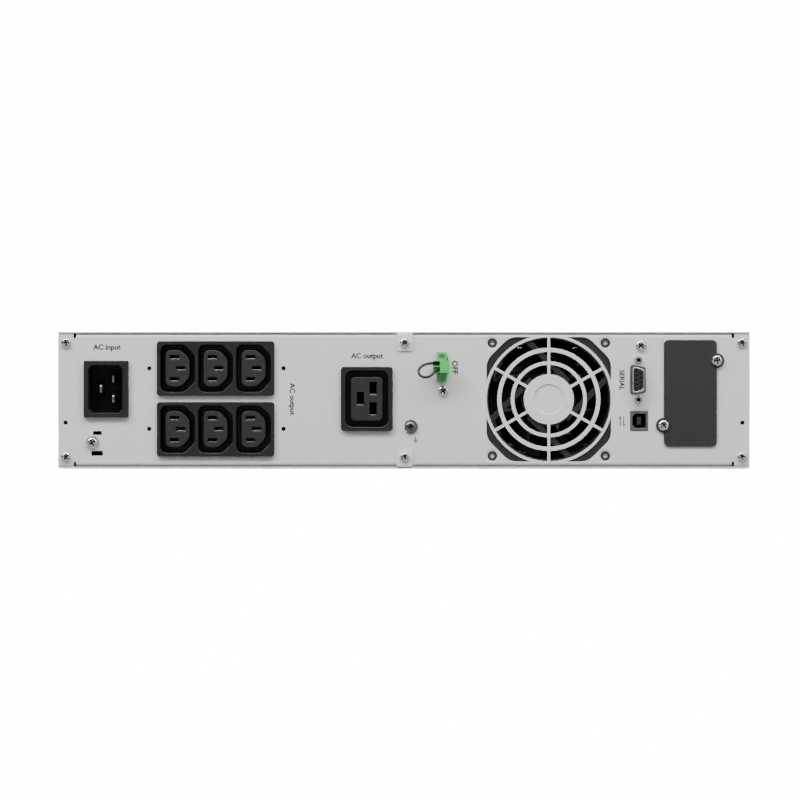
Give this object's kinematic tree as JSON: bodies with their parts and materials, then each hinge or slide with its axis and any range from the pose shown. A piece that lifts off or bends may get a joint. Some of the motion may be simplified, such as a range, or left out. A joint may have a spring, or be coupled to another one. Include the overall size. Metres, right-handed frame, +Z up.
{
  "type": "rackmount ups",
  "caption": "Flat grey steel case for a rack, with mains inlet, banks of outlets, a grilled fan, data ports and a screwed slot cover behind, and a pull-out battery drawer in front.",
  "frame": {"origin": "middle of the footprint, on the surface that the case stands on", "axes": "+Y from the socket side to the front, +X to the right when the sockets are looked at, +Z up"},
  "size_m": [0.438, 0.6088, 0.0865],
  "materials": {
    "painted_steel": "powder coat, fine texture",
    "panel_paint": "powder coat, fine texture",
    "plain_steel": "zinc plated",
    "nylon": "moulded, satin",
    "front_plastic": "moulded, fine spark texture",
    "black_sheet": "matte black coat",
    "socket_plastic": "moulded, satin",
    "socket_core_plastic": "moulded, satin",
    "contact_metal": "nickel plated",
    "brass": "bright",
    "green_plastic": "moulded, satin",
    "wire_rubber": "insulation, satin",
    "shell_metal": "nickel plated",
    "insulator": "moulded",
    "jack_metal": "nickel plated, warm",
    "circuit_board": "solder mask",
    "nickel": "bright nickel",
    "ground_metal": "plain nickel",
    "fan_screw_black": "black oxide",
    "fan_plastic": "moulded, glossy",
    "fan_blade_plastic": "moulded, glossy",
    "winding": "enamelled copper",
    "battery_case": "moulded, satin",
    "connector_blue": "moulded",
    "connector_grey": "moulded",
    "window_glass": "clear acrylic",
    "lcd_glass": "dark display glass",
    "button_plastic": "moulded, satin",
    "standoff_brass": "bright",
    "heatsink_aluminium": "extruded",
    "capacitor_sleeve": "shrink sleeve",
    "lead_insulation": "insulation"
  },
  "bodies": {
    "case": {"chassis_base": "painted_steel", "top_cover": "painted_steel", "rear_panel": "panel_paint", "bay_side_wall": "plain_steel", "bay_rear_wall": "plain_steel", "drawer_runners": "nylon", "card_guides": "nylon", "display_bezel": "front_plastic", "slot_cover": "black_sheet", "inlet_housing": "socket_plastic", "outlet_bank_upper": "socket_plastic", "outlet_bank_lower": "socket_plastic", "large_outlet_housing": "socket_plastic", "outlet_inserts": "socket_core_plastic", "large_outlet_insert": "socket_core_plastic", "inlet_pins": "contact_metal", "outlet_contacts": "brass", "remote_header": "green_plastic", "serial_shell": "shell_metal", "usb_shell": "shell_metal", "serial_insert": "insulator", "usb_tongue": "insulator", "jack_screws": "jack_metal", "comm_board": "circuit_board", "display_board": "circuit_board", "main_board": "circuit_board", "control_card": "circuit_board", "filter_board": "circuit_board", "case_screws": "nickel", "panel_screws": "nickel", "retainer_screw": "nickel", "cover_screws": "nickel", "press_nuts": "nickel", "ground_screw": "ground_metal", "ground_washer": "ground_metal", "fan_screws": "fan_screw_black", "fan_frame": "fan_plastic", "fan_stator": "winding", "transformer": "winding", "battery_socket": "connector_grey", "display_window": "window_glass", "lcd_module": "lcd_glass", "board_standoffs": "standoff_brass", "heatsinks": "heatsink_aluminium", "capacitors": "capacitor_sleeve", "power_leads": "lead_insulation"},
    "battery_drawer": {"battery_fascia": "front_plastic", "battery_tray": "plain_steel", "battery_blocks": "battery_case", "battery_terminals": "brass", "battery_plug": "connector_blue", "drawer_screws": "nickel"},
    "rotor": {"fan_rotor": "fan_blade_plastic"},
    "plug": {"remote_plug": "green_plastic", "jumper_wire": "wire_rubber"},
    "key_back": {"button_back": "button_plastic"},
    "key_down": {"button_down": "button_plastic"},
    "key_up": {"button_up": "button_plastic"},
    "key_enter": {"button_enter": "button_plastic"}
  },
  "joints": [
    {"name": "drawer_slide", "type": "slide", "parent": "case", "child": "battery_drawer", "axis": [0, 1, 0], "range_m": [0, 0.29]},
    {"name": "fan_spin", "type": "hinge", "parent": "case", "child": "rotor", "pos_m": [0.0917, -0.28, 0.04365], "axis": [0, 1, 0], "continuous": true},
    {"name": "plug_pull", "type": "slide", "parent": "case", "child": "plug", "axis": [0, -1, 0], "range_m": [0, 0.012]},
    {"name": "key_back_press", "type": "slide", "parent": "case", "child": "key_back", "axis": [0, -1, 0], "range_m": [0, 0.0008], "stiffness_N_per_m": 300, "springref_m": -0.0005},
    {"name": "key_down_press", "type": "slide", "parent": "case", "child": "key_down", "axis": [0, -1, 0], "range_m": [0, 0.0008], "stiffness_N_per_m": 300, "springref_m": -0.0005},
    {"name": "key_up_press", "type": "slide", "parent": "case", "child": "key_up", "axis": [0, -1, 0], "range_m": [0, 0.0008], "stiffness_N_per_m": 300, "springref_m": -0.0005},
    {"name": "key_enter_press", "type": "slide", "parent": "case", "child": "key_enter", "axis": [0, -1, 0], "range_m": [0, 0.0008], "stiffness_N_per_m": 300, "springref_m": -0.0005}
  ]
}
